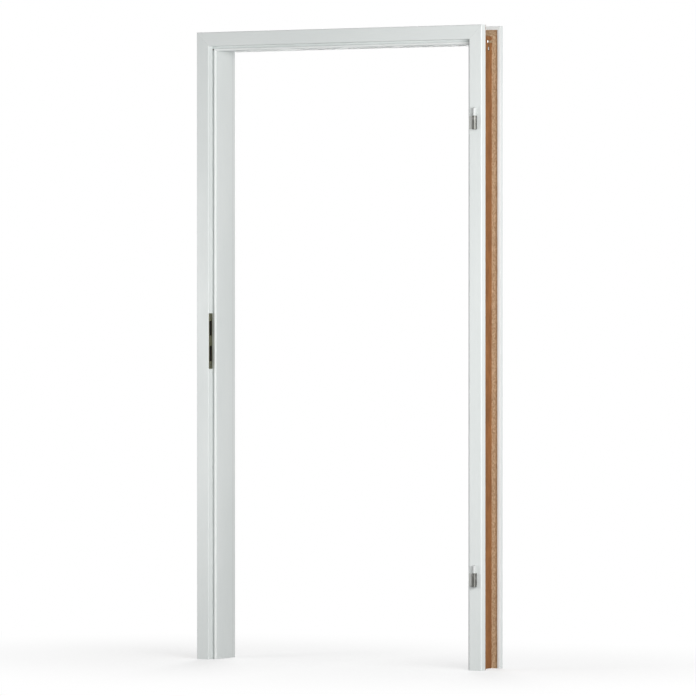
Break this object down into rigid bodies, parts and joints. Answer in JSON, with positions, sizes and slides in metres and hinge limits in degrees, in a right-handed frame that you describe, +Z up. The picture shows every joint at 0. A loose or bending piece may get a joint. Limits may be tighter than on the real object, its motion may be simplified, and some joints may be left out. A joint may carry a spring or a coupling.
{
  "type": "door frame",
  "caption": "White rebated wraparound inner door frame with mitred casings, tube seal, strike plate and the frame halves of the hinges, without a leaf.",
  "frame": {"origin": "on the floor, in the middle of the whole frame's width and depth", "axes": "+Z up, +Y from the rebated front side to the back, +X to the hinge side"},
  "size_m": [1.056, 0.1554, 2.028],
  "materials": {
    "white_board": "satin white film on particle board, raw brown on the wall side",
    "white_seal": "matt white extruded seal",
    "strike_steel": "brushed, dull olive nickel",
    "hinge_steel": "satin nickel",
    "screw_steel": "nickel-plated screw",
    "sleeve_plastic": "matt white plastic",
    "zinc_steel": "bright zinc plating"
  },
  "bodies": {
    "root": {"left_lining": "white_board", "right_lining": "white_board", "head_lining": "white_board", "left_front_casing": "white_board", "right_front_casing": "white_board", "head_front_casing": "white_board", "left_back_casing": "white_board", "right_back_casing": "white_board", "head_back_casing": "white_board", "left_seal": "white_seal", "right_seal": "white_seal", "head_seal": "white_seal", "strike_plate": "strike_steel", "strike_plate_screws": "screw_steel", "upper_hinge_knuckle": "hinge_steel", "upper_hinge_pin": "hinge_steel", "upper_hinge_sleeve": "sleeve_plastic", "upper_hinge_screws": "screw_steel", "lower_hinge_knuckle": "hinge_steel", "lower_hinge_pin": "hinge_steel", "lower_hinge_sleeve": "sleeve_plastic", "lower_hinge_screws": "screw_steel", "left_corner_bolts": "zinc_steel", "right_corner_bolts": "zinc_steel"}
  },
  "joints": []
}
